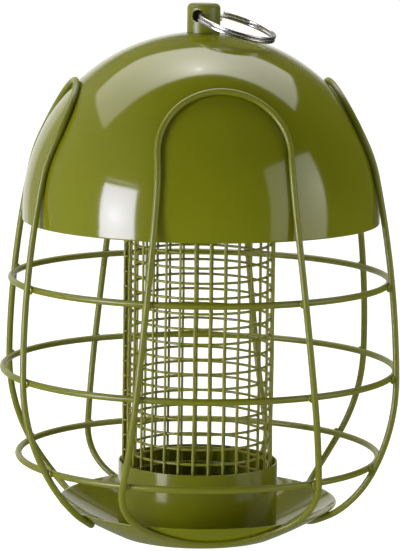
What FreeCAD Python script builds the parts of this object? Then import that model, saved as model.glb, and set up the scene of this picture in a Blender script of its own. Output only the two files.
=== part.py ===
import FreeCAD, Part
import math
import os

from FreeCAD import Placement, Rotation, Vector
from Sketcher import Constraint

# Acorn-shaped bird feeder: a mesh tube for nuts stands in a cup on a shallow seed tray,
# inside a cage of bent wire, under a round sheet-metal roof with a stalk and a split ring.
# The cage parts at the leg joints, so that the roof half lifts off for filling.
# Millimetres, +Z up, origin in the middle of the tray's flat underside, front loop towards -Y.

doc = FreeCAD.newDocument("acorn_feeder")

SIZES = [
    ("wire_dia", 3.2, "cage wire diameter"),
    ("weld_gap", 0.1, "gap left between pieces that are spot-welded"),
    ("waist_height", 84.0, "height where the cage is widest"),
    ("leg_splay", 6.0, "degrees, how far each leg leans sideways towards its foot"),
    ("clearance_share", 0.0158, "space between roof and leg, as a share of the roof's radius"),
    ("leg_lean", 9.375, "degrees, how far a leg leans in where it starts to follow the roof"),
    ("lower_leg_radius", 95.0, "bend radius of a leg below the waist"),
    ("foot_overlap", 16.4, "how far a loop's foot reaches in under the tray's rim"),
    ("joint_height", 122.0, "height of the joint between the two halves of the cage"),
    ("peg_dia", 1.4, "peg on the end of an upper leg"),
    ("peg_length", 5.0, "length of peg in the lower leg"),
    ("peg_root", 2.0, "length of peg inside the upper leg"),
    ("peg_clearance", 0.08, "radial clearance round a peg"),
    ("peg_end_gap", 0.4, "space under a peg in its bore"),
    ("ring_above_joint", 7.0, "height of the roof half's ring above the joint"),
    ("bottom_ring_height", 40.0, "height of the lower ring, where the legs turn in to the tray"),
    ("dome_radius", 88.8, "outer radius of the roof"),
    ("dome_wall", 0.8, "sheet thickness of the roof"),
    ("dome_rim_height", 158.0, "height of the roof's rim"),
    ("skirt_height", 4.7, "straight part of the roof above its rim"),
    ("arch_share", 0.36, "bend radius of an arch as a share of the roof's radius"),
    ("arch_lean", 25.0, "degrees, how far an arch's bend faces upwards"),
    ("flare_share", 0.0248, "a leg's spread between arch and rim, as a share of the roof's radius"),
    ("bend_share", 0.0259, "height where a leg meets the roof, above its centre, as such a share"),
    ("stalk_radius", 8.2, "radius of the stalk"),
    ("stalk_height", 14.0, "height of the stalk above the roof"),
    ("stalk_fillet", 2.4, "rounding of the stalk's top edge"),
    ("stalk_seat_gap", 0.05, "gap between the roof and the stalk, and the washer"),
    ("hang_hole_dia", 6.0, "cross hole in the stalk"),
    ("hang_hole_rise", 8.2, "height of the cross hole above the roof"),
    ("hang_hole_turn", 30.0, "degrees, cross hole's turn from the front towards the left"),
    ("screw_dia", 4.0, "screw that holds the stalk"),
    ("screw_reach", 4.0, "length of screw in the stalk"),
    ("screw_clearance", 0.05, "radial clearance round the screw in the stalk"),
    ("screw_hole_clearance", 0.3, "radial clearance round the screw in roof and washer"),
    ("screw_end_gap", 0.5, "space past the screw's tip"),
    ("screw_head_radius", 3.8, "radius of the screw's head"),
    ("screw_head_height", 2.4, "height of the screw's head"),
    ("washer_radius", 6.0, "radius of the washer under the roof"),
    ("washer_thickness", 1.0, "thickness of the washer"),
    ("split_ring_radius", 19.2, "radius of the split ring to the middle of its wire"),
    ("split_ring_wire", 1.3, "wire diameter of the split ring"),
    ("split_ring_step", 1.75, "step from one coil of the split ring to the next"),
    ("split_ring_tilt", 18.0, "degrees, how far the split ring hangs below level"),
    ("split_ring_drop", 0.3, "how far the split ring hangs below the cross hole's axis"),
    ("split_ring_turns", 2.0, "coils of the split ring"),
    ("tray_reach", 30.4, "how far the tray's rim reaches out past the cup"),
    ("tray_height", 16.4, "height of the tray's rim"),
    ("tray_wall", 0.8, "sheet thickness of the tray"),
    ("cup_seat", 1.0, "how much wider the tray's flat is than the cup"),
    ("cup_height", 35.6, "height of the cup"),
    ("cup_wall", 0.8, "sheet thickness of the cup"),
    ("cup_clearance", 0.9, "space between the mesh tube's seam and the cup"),
    ("tube_radius", 36.6, "radius of the mesh tube to the middle of its uprights"),
    ("tube_headroom", 9.3, "space between the mesh tube's top edge and the roof"),
    ("mesh_wire", 1.3, "wire diameter of the mesh"),
    ("mesh_pitch", 7.5, "spacing of the mesh wires, nearly"),
    ("mesh_gap", 0.05, "gap left between crossing mesh wires"),
    ("hoop_margin", 2.7, "height of the lowest hoop above the tube's foot"),
    ("hoop_tilt", 1.8, "degrees, how far the hoops dip to the front"),
    ("seam_width", 3.6, "width of the strip that closes the mesh"),
    ("seam_thickness", 1.0, "thickness of that strip"),
    ("seam_turn", 176.9, "degrees, place of the seam from +X towards +Y"),
]

# Sizes that follow from the ones above, so that the pieces keep meeting when one of those changes.
DERIVED = [
    ("top_ring_height", "joint_height + ring_above_joint", "height of the roof half's ring"),
    ("dome_centre", "dome_rim_height + skirt_height", "height of the roof's centre"),
    ("dome_top", "dome_centre + dome_radius", "height of the roof's top"),
    ("dome_inner_radius", "dome_radius - dome_wall", "inner radius of the roof"),
    ("hang_hole_height", "dome_top + hang_hole_rise", "height of the cross hole's axis"),
    ("seat_radius", "dome_inner_radius - stalk_seat_gap", "radius that the washer's edge lies on"),
    ("washer_top", "dome_centre + sqrt(seat_radius^2 - washer_radius^2)", "washer's upper face"),
    ("washer_bottom", "washer_top - washer_thickness", "washer's lower face"),
    ("leg_clearance", "clearance_share * dome_radius", "space between roof and leg"),
    ("arch_flare", "flare_share * dome_radius", "how far a leg spreads between arch and rim"),
    ("bend_height", "dome_centre + bend_share * dome_radius", "where a leg starts to follow the roof"),
    ("bend_run", "(bend_height - waist_height) / cos(leg_splay * 1 deg)", "leg from the waist to there"),
    ("upper_leg_radius", "bend_run / sin(leg_lean * 1 deg)", "bend radius of a leg above the waist"),
    ("arch_radius", "arch_share * dome_radius", "bend radius of an arch on the roof"),
    ("bend_spread", "arch_radius + arch_flare", "leg's distance to the side there"),
    ("bend_distance", "dome_radius + wire_dia / 2 + leg_clearance", "leg's distance from the axis there"),
    ("bend_reach", "sqrt(bend_distance^2 - bend_spread^2)", "leg's distance out along its loop there"),
    ("bend_sag", "upper_leg_radius - sqrt(upper_leg_radius^2 - bend_run^2)", "leg's bow up to there"),
    ("waist_reach", "bend_reach + bend_sag", "leg's distance out along its loop at the waist"),
    ("leg_spread", "bend_spread + bend_run * sin(leg_splay * 1 deg)", "leg's distance to the side there"),
    ("tube_outside", "tube_radius + mesh_wire / 2 + mesh_gap + seam_thickness", "radius over the seam"),
    ("cup_radius", "tube_outside + cup_clearance + cup_wall", "outer radius of the cup"),
    ("tray_flat_radius", "cup_radius + cup_seat", "radius of the tray's flat underside"),
    ("tray_rim_radius", "cup_radius + tray_reach", "outer radius of the tray's rim"),
    ("foot_reach", "tray_rim_radius - foot_overlap", "distance from the axis to a loop's foot"),
    ("cup_floor", "tray_wall + cup_wall", "height of the cup's floor"),
    ("roof_over_tube", "dome_centre + sqrt(dome_inner_radius^2 - tube_outside^2)", "roof over the tube"),
    ("tube_height", "roof_over_tube - tube_headroom - cup_floor", "height of the mesh tube"),
    ("hoop_run", "tube_height - 2 * hoop_margin", "height from the lowest hoop to the highest"),
    ("hoop_count", "round(hoop_run / mesh_pitch) + 1", "hoops up the mesh tube"),
    ("lower_hoop_count", "floor(hoop_count / 2)", "hoops in the lower half of the mesh tube"),
    ("upper_hoop_count", "hoop_count - lower_hoop_count", "hoops in the upper half of the mesh tube"),
    ("hoop_pitch", "hoop_run / (hoop_count - 1)", "spacing of the hoops"),
    ("upright_count", "round(2 * pi * tube_radius / mesh_pitch)", "uprights round the mesh tube"),
]

LOOP_TURNS = {"right": 0.0, "back": 90.0, "left": 180.0, "front": 270.0}

sheet = doc.addObject("Spreadsheet::Sheet", "Sizes")
DERIVED_CELLS = [(alias, "=" + text, note) for alias, text, note in DERIVED]
for row, (alias, value, note) in enumerate(SIZES + DERIVED_CELLS, start=1):
    sheet.set("A%d" % row, note)
    sheet.setAlias("B%d" % row, alias)
    sheet.set("B%d" % row, str(value))
doc.recompute()


def size(alias):
    """A driving dimension from the sheet."""
    return float(sheet.get(alias))


RING_END_TURN = 135.0   # degrees, where the split ring's wire starts and ends
FOOT_STEP = 0.01        # small step along a foot, for its direction
LEVEL = 1e-4            # edges this near to a height lie at it
COIL_SAMPLES = 240      # points on which the split ring's gap is measured

nodes = []


def formula(text):
    """The present value of a formula of the sheet."""
    value = sheet.evalExpression(text)
    return float(getattr(value, "Value", value))


def keep(obj, name):
    """Lists a finished sub-part under the name of its node."""
    obj.Label = name
    nodes.append(obj)
    return obj


# Bodies made from sketches

def new_body(name):
    return doc.addObject("PartDesign::Body", name)


def origin_feature(body, role):
    for feature in body.Origin.OriginFeatures:
        if feature.Role == role:
            return feature
    raise RuntimeError("no origin feature " + role)


def new_sketch(body, name, plane):
    sketch = body.newObject("Sketcher::SketchObject", name)
    sketch.AttachmentSupport = [(origin_feature(body, plane), "")]
    sketch.MapMode = "FlatFace"
    return sketch


def bind(sketch, constraint, text):
    index = sketch.addConstraint(constraint)
    sketch.setExpression("Constraints[%d]" % index, text)


def place_point(sketch, geometry, end, x_text, y_text):
    """Ties one point of a line, arc or circle to formulas for its two coordinates."""
    for kind, text, axis in (("DistanceX", x_text, -2), ("DistanceY", y_text, -1)):
        if text is None:
            continue
        if text == "0":
            sketch.addConstraint(Constraint("PointOnObject", geometry, end, axis))
        else:
            bind(sketch, Constraint(kind, -1, 1, geometry, end, formula(text)), text)


def corner_point(corner, arc):
    """Where a corner of an outline lies; an arc gives the coordinate that is None."""
    x_text, y_text = corner
    if x_text is None:
        rise = formula(y_text) - formula(arc[0])
        return Vector(math.sqrt(formula(arc[1]) ** 2 - rise ** 2), formula(y_text), 0)
    if y_text is None:
        across = formula(x_text)
        return Vector(across, formula(arc[0]) + math.sqrt(formula(arc[1]) ** 2 - across ** 2), 0)
    return Vector(formula(x_text), formula(y_text), 0)


def outline(sketch, corners, arcs):
    """Closed outline of lines, and of arcs about centres on the sketch's upright axis.

    A corner is a pair of formulas, with None for the one that an arc gives.
    arcs maps the number of the corner where an arc starts to (centre height, radius).
    """
    count = len(corners)
    points = []
    for number, corner in enumerate(corners):
        points.append(corner_point(corner, arcs.get(number) or arcs.get(number - 1)))
    sides = []
    for number, begin in enumerate(points):
        end = points[(number + 1) % count]
        if number in arcs:
            height_text, radius_text = arcs[number]
            centre = Vector(0, formula(height_text), 0)
            circle = Part.Circle(centre, Vector(0, 0, 1), formula(radius_text))
            angles = [math.atan2(p.y - centre.y, p.x - centre.x) for p in (begin, end)]
            index = sketch.addGeometry(Part.ArcOfCircle(circle, min(angles), max(angles)), False)
            place_point(sketch, index, 3, "0", height_text)
            bind(sketch, Constraint("Radius", index, formula(radius_text)), radius_text)
            sides.append((index, 1, 2) if angles[0] < angles[1] else (index, 2, 1))
        else:
            index = sketch.addGeometry(Part.LineSegment(begin, end), False)
            sides.append((index, 1, 2))
    for number, (index, start, end) in enumerate(sides):
        after, after_start, _ = sides[(number + 1) % count]
        sketch.addConstraint(Constraint("Coincident", index, end, after, after_start))
        place_point(sketch, index, start, *corners[number])


def round_profile(sketch, x_text, y_text, diameter_text):
    """A circle in a sketch, tied to formulas for its centre and diameter."""
    centre = Vector(formula(x_text), formula(y_text), 0)
    index = sketch.addGeometry(Part.Circle(centre, Vector(0, 0, 1), formula(diameter_text) / 2), False)
    place_point(sketch, index, 3, x_text, y_text)
    bind(sketch, Constraint("Diameter", index, formula(diameter_text)), diameter_text)


def revolve(body, sketch):
    feature = body.newObject("PartDesign::Revolution", body.Name + "_turned")
    feature.Profile = sketch
    feature.ReferenceAxis = (sketch, ["V_Axis"])
    doc.recompute()
    return feature


def revolved(name, corners, arcs=None):
    """A body of revolution about the upright axis."""
    body = new_body(name)
    sketch = new_sketch(body, name + "_profile", "XZ_Plane")
    outline(sketch, corners, arcs or {})
    revolve(body, sketch)
    return body


def turn_body(body, angle_text):
    """Turns a body about the upright axis."""
    body.Placement = Placement(Vector(), Rotation(Vector(0, 0, 1), formula(angle_text)))
    body.setExpression("Placement.Rotation.Angle", angle_text)


# Roof, stalk and their screw

def make_roof_dome():
    hole = "(Sizes.screw_dia / 2 + Sizes.screw_hole_clearance)"
    corners = [
        ("Sizes.dome_radius", "Sizes.dome_rim_height"),
        (None, "Sizes.dome_centre"),
        (hole, None),
        (hole, None),
        (None, "Sizes.dome_centre"),
        ("Sizes.dome_inner_radius", "Sizes.dome_rim_height"),
    ]
    arcs = {
        1: ("Sizes.dome_centre", "Sizes.dome_radius"),
        3: ("Sizes.dome_centre", "Sizes.dome_inner_radius"),
    }
    keep(revolved("roof_dome_body", corners, arcs), "roof_dome")


def make_roof_stalk():
    seat_radius = "(Sizes.dome_radius + Sizes.stalk_seat_gap)"
    bore = "(Sizes.screw_dia / 2 + Sizes.screw_clearance)"
    top = "Sizes.dome_top + Sizes.stalk_height"
    bore_end = "Sizes.dome_top + Sizes.screw_reach + Sizes.screw_end_gap"
    corners = [
        (bore, None),
        ("Sizes.stalk_radius", None),
        ("Sizes.stalk_radius", top),
        ("0", top),
        ("0", bore_end),
        (bore, bore_end),
    ]
    body = revolved("roof_stalk_body", corners, {0: ("Sizes.dome_centre", seat_radius)})
    round_edge(body, top, "Sizes.stalk_fillet")
    cut_hang_hole(body)
    keep(body, "roof_stalk")


def round_edge(body, height_text, radius_text):
    """Rounds the body's widest level edge at a height."""
    base = body.Tip
    widths = [0.0]
    for edge in base.Shape.Edges:
        box = edge.BoundBox
        level = abs(box.ZMin - formula(height_text)) + abs(box.ZMax - formula(height_text)) < LEVEL
        widths.append(box.XLength if level else 0.0)
    fillet = body.newObject("PartDesign::Fillet", body.Name + "_rounding")
    fillet.Base = (base, ["Edge%d" % widths.index(max(widths))])
    fillet.setExpression("Radius", radius_text)
    doc.recompute()


def cut_hang_hole(body):
    """The cross hole through the stalk, turned from the front towards the left."""
    before = body.Shape.Volume
    sketch = new_sketch(body, "hang_hole_circle", "XZ_Plane")
    sketch.AttachmentOffset = Placement(Vector(), Rotation(Vector(0, -1, 0), size("hang_hole_turn")))
    sketch.setExpression("AttachmentOffset.Rotation.Angle", "Sizes.hang_hole_turn")
    round_profile(sketch, "0", "Sizes.hang_hole_height", "Sizes.hang_hole_dia")
    hole = body.newObject("PartDesign::Pocket", "hang_hole")
    hole.Profile = sketch
    hole.Type = "ThroughAll"
    hole.Midplane = True
    doc.recompute()
    if body.Shape.Volume >= before:
        raise RuntimeError("the cross hole cuts nothing")


def make_stalk_screw():
    """Pan-head screw, up through the washer and the roof into the stalk."""
    shank = "(Sizes.screw_dia / 2)"
    head_bottom = "Sizes.washer_bottom - Sizes.screw_head_height"
    tip = "Sizes.dome_top + Sizes.screw_reach"
    corners = [
        ("0", head_bottom),
        ("Sizes.screw_head_radius", head_bottom),
        ("Sizes.screw_head_radius", "Sizes.washer_bottom"),
        (shank, "Sizes.washer_bottom"),
        (shank, tip),
        ("0", tip),
    ]
    body = revolved("stalk_screw_body", corners)
    round_edge(body, head_bottom, "Sizes.screw_head_height / 2")
    keep(body, "stalk_screw")


def make_stalk_washer():
    hole = "(Sizes.screw_dia / 2 + Sizes.screw_hole_clearance)"
    corners = [
        (hole, "Sizes.washer_bottom"),
        ("Sizes.washer_radius", "Sizes.washer_bottom"),
        ("Sizes.washer_radius", "Sizes.washer_top"),
        (hole, "Sizes.washer_top"),
    ]
    keep(revolved("stalk_washer_body", corners), "stalk_washer")


# Tray, cup and mesh tube

def make_seed_tray():
    """Shallow dish with a flat bottom, which the feeder stands on."""
    wall_run = "(Sizes.tray_rim_radius - Sizes.tray_flat_radius)"
    wall_across = "(Sizes.tray_wall * hypot(" + wall_run + "; Sizes.tray_height) / Sizes.tray_height)"
    shift = "(" + wall_across + " - Sizes.tray_wall * " + wall_run + " / Sizes.tray_height)"
    corners = [
        ("0", "0"),
        ("Sizes.tray_flat_radius", "0"),
        ("Sizes.tray_rim_radius", "Sizes.tray_height"),
        ("Sizes.tray_rim_radius - " + wall_across, "Sizes.tray_height"),
        ("Sizes.tray_flat_radius - " + shift, "Sizes.tray_wall"),
        ("0", "Sizes.tray_wall"),
    ]
    keep(revolved("seed_tray_body", corners), "seed_tray")


def make_feed_cup():
    """Straight-sided cup on the tray, round the foot of the mesh tube."""
    inside = "(Sizes.cup_radius - Sizes.cup_wall)"
    top = "Sizes.tray_wall + Sizes.cup_height"
    corners = [
        ("0", "Sizes.tray_wall"),
        ("Sizes.cup_radius", "Sizes.tray_wall"),
        ("Sizes.cup_radius", top),
        (inside, top),
        (inside, "Sizes.cup_floor"),
        ("0", "Sizes.cup_floor"),
    ]
    keep(revolved("feed_cup_body", corners), "feed_cup")


def pattern(body, kind, original, axis_role, count_text):
    """Repeats a feature round or along an axis of its body."""
    feature = body.newObject("PartDesign::" + kind, body.Name + "_row")
    feature.Originals = [original]
    axis = (origin_feature(body, axis_role), [""])
    if kind == "PolarPattern":
        feature.Axis = axis
        feature.Angle = 360
    else:
        feature.Direction = axis
    feature.setExpression("Occurrences", count_text)
    body.Tip = feature
    return feature


def pad_up(body, sketch):
    """Raises a sketch from the cup's floor to the top of the mesh tube."""
    sketch.AttachmentOffset = Placement(Vector(0, 0, size("cup_floor")), Rotation())
    sketch.setExpression("AttachmentOffset.Base.z", "Sizes.cup_floor")
    pad = body.newObject("PartDesign::Pad", body.Name + "_raised")
    pad.Profile = sketch
    pad.setExpression("Length", "Sizes.tube_height")
    doc.recompute()
    return pad


def make_tube_uprights():
    body = new_body("tube_uprights_body")
    body.AllowCompound = True
    sketch = new_sketch(body, "upright_circle", "XY_Plane")
    round_profile(sketch, "Sizes.tube_radius", "0", "Sizes.mesh_wire")
    pad = pad_up(body, sketch)
    pattern(body, "PolarPattern", pad, "Z_Axis", "Sizes.upright_count")
    turn_body(body, "Sizes.seam_turn")
    doc.recompute()
    keep(body, "tube_uprights")


def make_hoops(name, first_height_text, count_text):
    """A number of hoops, upwards from a height, that all dip to the front."""
    body = new_body(name + "_body")
    body.AllowCompound = True
    sketch = new_sketch(body, name + "_circle", "XZ_Plane")
    reach = "Sizes.tube_radius - Sizes.mesh_wire - Sizes.mesh_gap"
    round_profile(sketch, reach, "0", "Sizes.mesh_wire")
    dip = Rotation(Vector(1, 0, 0), size("hoop_tilt"))
    sketch.AttachmentOffset = Placement(Vector(0, formula(first_height_text), 0), dip)
    sketch.setExpression("AttachmentOffset.Base.y", first_height_text)
    sketch.setExpression("AttachmentOffset.Rotation.Angle", "Sizes.hoop_tilt")
    hoop = revolve(body, sketch)
    row = pattern(body, "LinearPattern", hoop, "Z_Axis", count_text)
    row.setExpression("Length", "Sizes.hoop_pitch * (" + count_text + " - 1)")
    doc.recompute()
    keep(body, name)


def make_tube_seam():
    """Folded strip down the outside of the tube, where the mesh is closed."""
    body = new_body("tube_seam_body")
    sketch = new_sketch(body, "seam_outline", "XY_Plane")
    inner = "Sizes.tube_outside - Sizes.seam_thickness"
    outer = "Sizes.tube_outside"
    side = "Sizes.seam_width / 2"
    outline(sketch, [(inner, "-" + side), (outer, "-" + side), (outer, side), (inner, side)], {})
    pad_up(body, sketch)
    turn_body(body, "Sizes.seam_turn")
    doc.recompute()
    keep(body, "tube_seam")


# Cage wires: each loop is drawn out from the axis (x), to the side (y) and up (z), then turned into place

def leg_formulas(height_text):
    """Formulas for how far out and to the side a leg is at a height, and the sine of its lean."""
    radius = "Sizes.upper_leg_radius"
    if formula(height_text) < size("waist_height"):
        radius = "Sizes.lower_leg_radius"
    along = "((" + height_text + " - Sizes.waist_height) / cos(Sizes.leg_splay * 1 deg))"
    out = "(Sizes.waist_reach - " + radius + " + sqrt(" + radius + "^2 - " + along + "^2))"
    side = "(Sizes.leg_spread - " + along + " * sin(Sizes.leg_splay * 1 deg))"
    return out, side, "(" + along + " / " + radius + ")"


def leg_point(height):
    out, side, _ = leg_formulas(str(height))
    return Vector(formula(out), formula(side), height)


def leg_direction(height):
    """Which way a leg runs down at a height."""
    upper = height >= size("waist_height")
    radius = size("upper_leg_radius") if upper else size("lower_leg_radius")
    splay = math.radians(size("leg_splay"))
    lean = (height - size("waist_height")) / math.cos(splay) / radius
    down = math.sqrt(1 - lean ** 2)
    return Vector(lean, down * math.sin(splay), -down * math.cos(splay))


def arc_by_corner(start, corner, end):
    """Arc from start to end, tangent there to the lines to a corner that is as far from both."""
    middle = (start + end) * 0.5
    to_corner = corner - middle
    half_chord = (end - middle).Length
    half_turn = math.atan2(to_corner.Length, half_chord)
    rise = half_chord * math.tan(half_turn / 2)
    return (start, middle + to_corner.normalize() * rise, end)


def two_arcs(start, start_way, end, end_way):
    """Two tangent arcs from one point and direction to another."""
    chord = end - start
    ways = start_way + end_way
    spread = 2 * (1 - start_way.dot(end_way))
    along = chord.dot(ways)
    reach = (math.sqrt(along ** 2 + spread * chord.dot(chord)) - along) / spread
    start_corner = start + start_way * reach
    end_corner = end - end_way * reach
    meeting = (start_corner + end_corner) * 0.5
    return [arc_by_corner(start, start_corner, meeting), arc_by_corner(meeting, end_corner, end)]


def leg_arc(top, bottom):
    """A leg's own bend between two heights."""
    start, end = leg_point(top), leg_point(bottom)
    start_way, end_way = leg_direction(top), leg_direction(bottom)
    reach = (end - start).Length / 2 / math.cos(start_way.getAngle(end_way) / 2)
    return arc_by_corner(start, start + start_way * reach, end)


def arch_half():
    """From the top of an arch, over the roof and down a leg to the joint."""
    stand_off = size("dome_radius") + size("wire_dia") / 2 + size("weld_gap")
    bend = size("arch_radius")
    lean = math.radians(size("arch_lean"))
    facing = Vector(math.cos(lean), 0, math.sin(lean))
    upward = Vector(-math.sin(lean), 0, math.cos(lean))
    sideways = Vector(0, 1, 0)
    centre = Vector(0, 0, size("dome_centre")) + facing * math.sqrt(stand_off ** 2 - bend ** 2)
    top = centre + upward * bend
    side = centre + sideways * bend
    leg_top = size("bend_height")
    arcs = [arc_by_corner(top, top + sideways * bend, side)]
    arcs += two_arcs(side, upward * -1, leg_point(leg_top), leg_direction(leg_top))
    arcs.append(leg_arc(leg_top, size("joint_height")))
    return arcs


def under_tray(out, side):
    """Place of a wire that touches the sloping underside of the tray."""
    run = size("tray_rim_radius") - size("tray_flat_radius")
    slope = math.atan2(size("tray_height"), run)
    height = (math.hypot(out, side) - size("tray_flat_radius")) * math.tan(slope)
    below = (size("wire_dia") / 2 + size("weld_gap")) / math.cos(slope)
    return Vector(out, side, height - below)


def foot_shoulder(leg_end):
    """Where a loop's wire passes under the tray's rim, and which way it runs there.

    Seen from above the foot bends like a quarter of an ellipse, from the end of the leg to
    the middle of the foot. The share of the bend comes from the rim's radius.
    """
    draw_in = leg_end.x - size("foot_reach")
    out, side = leg_end.x, leg_end.y
    outside = out ** 2 + side ** 2 - size("tray_rim_radius") ** 2
    root = math.sqrt((out * draw_in) ** 2 - (draw_in ** 2 - side ** 2) * outside)
    share = outside / (out * draw_in + root)
    rest = math.sqrt(1 - share ** 2)
    shoulder = under_tray(out - draw_in * share, side * rest)
    nearby = under_tray(shoulder.x - draw_in * rest * FOOT_STEP, shoulder.y - side * share * FOOT_STEP)
    return shoulder, (nearby - shoulder).normalize()


def foot_half():
    """From the middle of the foot, out from under the tray and up a leg to the joint."""
    waist = size("waist_height")
    bend_height = size("bottom_ring_height")
    leg_end = leg_point(bend_height)
    shoulder, shoulder_way = foot_shoulder(leg_end)
    foot = under_tray(size("foot_reach"), 0)
    arcs = [leg_arc(size("joint_height"), waist), leg_arc(waist, bend_height)]
    arcs += two_arcs(leg_end, leg_direction(bend_height), shoulder, shoulder_way)
    arcs += two_arcs(shoulder, shoulder_way, foot, Vector(0, -1, 0))
    return backwards(arcs)


def backwards(arcs):
    return [tuple(reversed(arc)) for arc in reversed(arcs)]


def mirrored(point):
    return Vector(point.x, -point.y, point.z)


def whole_loop(half):
    """A loop from its half: the mirrored half backwards, then the half itself."""
    other = [tuple(mirrored(point) for point in arc) for arc in half]
    return backwards(other) + half


def arc_edge(arc):
    return Part.Arc(*arc).toShape()


def swept_wire(name, arcs, diameter_text, placement):
    """A round wire along tangent arcs."""
    path = doc.addObject("Part::Feature", name + "_path")
    edges = [arc_edge(arc) for arc in arcs]
    path.Shape = Part.Wire(edges)
    start = edges[0].valueAt(edges[0].FirstParameter)
    way = edges[0].tangentAt(edges[0].FirstParameter)
    section = doc.addObject("Part::Circle", name + "_section")
    section.setExpression("Radius", diameter_text + " / 2")
    section.Placement = Placement(start, Rotation(Vector(0, 0, 1), way))
    wire = doc.addObject("Part::Sweep", name + "_wire")
    wire.Sections = [section]
    wire.Spine = (path, ["Edge%d" % (number + 1) for number in range(len(edges))])
    wire.Solid = True
    wire.Frenet = False
    wire.Placement = placement
    doc.recompute()
    return wire


def peg_cylinder(name, side, radius_text, bottom_text, top_text, placement):
    """Upright cylinder on a leg's joint: a peg, or the bore for one."""
    axis = leg_point(size("joint_height") - size("peg_length") / 2)
    cylinder = doc.addObject("Part::Cylinder", name)
    cylinder.setExpression("Radius", radius_text)
    cylinder.setExpression("Height", top_text + " - (" + bottom_text + ")")
    base = Vector(axis.x, axis.y * side, formula(bottom_text))
    cylinder.Placement = placement.multiply(Placement(base, Rotation()))
    return cylinder


def loop_placement(name):
    return Placement(Vector(), Rotation(Vector(0, 0, 1), LOOP_TURNS[name]))


def make_arch(name):
    """Upper half of a loop, with a peg on the end of each leg."""
    node = name + "_arch"
    placement = loop_placement(name)
    wire = swept_wire(node, whole_loop(arch_half()), "Sizes.wire_dia", placement)
    shapes = [wire]
    for side in (-1, 1):
        shapes.append(peg_cylinder(node + "_peg", side, "Sizes.peg_dia / 2",
                                   "Sizes.joint_height - Sizes.peg_length",
                                   "Sizes.joint_height + Sizes.peg_root", placement))
    arch = doc.addObject("Part::MultiFuse", node + "_whole")
    arch.Shapes = shapes
    doc.recompute()
    keep(arch, node)


def make_loop(name):
    """Lower half of a loop, with a bore in the end of each leg."""
    node = name + "_loop"
    placement = loop_placement(name)
    wire = swept_wire(node, whole_loop(foot_half()), "Sizes.wire_dia", placement)
    for side in (-1, 1):
        bore = peg_cylinder(node + "_bore", side, "Sizes.peg_dia / 2 + Sizes.peg_clearance",
                            "Sizes.joint_height - Sizes.peg_length - Sizes.peg_end_gap",
                            "Sizes.joint_height + Sizes.peg_root", placement)
        cut = doc.addObject("Part::Cut", node + "_bored")
        cut.Base = wire
        cut.Tool = bore
        wire = cut
        doc.recompute()
    keep(wire, node)


def make_ring(name, height_text):
    """A ring inside the legs, as far in as the two wires need where the leg leans."""
    out, side, lean = leg_formulas(height_text)
    distance = "hypot(" + out + "; " + side + ")"
    down = "sqrt(1 - " + lean + "^2)"
    inward = "(" + lean + " * " + out + " + " + down + " * sin(Sizes.leg_splay * 1 deg) * " + side + ")"
    slope = inward + " / (" + distance + " * " + down + " * cos(Sizes.leg_splay * 1 deg))"
    inset = "(Sizes.wire_dia + Sizes.weld_gap) * hypot(1; " + slope + ")"
    ring = doc.addObject("Part::Torus", name + "_wire")
    ring.setExpression("Radius1", distance + " - " + inset)
    ring.setExpression("Radius2", "Sizes.wire_dia / 2")
    ring.setExpression("Placement.Base.z", height_text)
    doc.recompute()
    keep(ring, name)


# Split ring

def make_split_ring():
    """Two coils of wire through the stalk's cross hole, fallen to the right."""
    radius = size("split_ring_radius")
    step = size("split_ring_step")
    turns = size("split_ring_turns")
    quarter_count = round(4 * turns)

    def coil_point(turn):
        angle = 2 * math.pi * turn
        return Vector(radius * math.cos(angle), radius * math.sin(angle), step * (turn - turns / 2))

    def coil_way(turn):
        angle = 2 * math.pi * turn
        rise = step / (2 * math.pi)
        return Vector(-radius * math.sin(angle), radius * math.cos(angle), rise).normalize()

    arcs = []
    for quarter in range(quarter_count):
        begin, end = quarter / 4, (quarter + 1) / 4
        arcs += two_arcs(coil_point(begin), coil_way(begin), coil_point(end), coil_way(end))

    samples = [coil_point(turns * i / COIL_SAMPLES) for i in range(COIL_SAMPLES + 1)]
    half_turn = round(COIL_SAMPLES / turns / 2)
    gaps = []
    for i, point in enumerate(samples):
        for other in samples[i + half_turn:]:
            gaps.append(point.distanceToPoint(other))
    print("split ring: least gap to itself %.2f mm" % (min(gaps) - size("split_ring_wire")))

    bow = radius - math.sqrt(radius ** 2 - size("stalk_radius") ** 2)
    hang_point = Vector(0, 0, size("hang_hole_height") - size("split_ring_drop"))
    turn = Rotation(Vector(0, 0, 1), -size("hang_hole_turn"))
    fall = Rotation(Vector(0, 1, 0), size("split_ring_tilt"))
    lie = turn.multiply(fall)
    coil_share = (180 - RING_END_TURN) / 360
    centre = hang_point + lie.multVec(Vector(radius - bow / 2, 0, step * (0.5 - coil_share)))
    start_turn = Rotation(Vector(0, 0, 1), RING_END_TURN)
    wire = swept_wire("hanging_ring", arcs, "Sizes.split_ring_wire",
                      Placement(centre, lie.multiply(start_turn)))
    keep(wire, "hanging_ring")


def check_document():
    """Stops on a feature that failed or a sub-part that isn't a sound solid."""
    for obj in doc.Objects:
        if "Invalid" in obj.State or "Error" in obj.State:
            raise RuntimeError("%s failed: %s" % (obj.Label, obj.State))
    for node in nodes:
        shape = node.Shape
        if shape.isNull() or not shape.isValid() or not shape.Solids:
            raise RuntimeError("%s has no sound solid" % node.Label)


def write_parts():
    os.makedirs("parts", exist_ok=True)
    for node in nodes:
        node.Shape.exportStep("parts/%s.step" % node.Label)
        print("%-14s %2d solids %10.1f mm3" % (node.Label, len(node.Shape.Solids), node.Shape.Volume))


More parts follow.
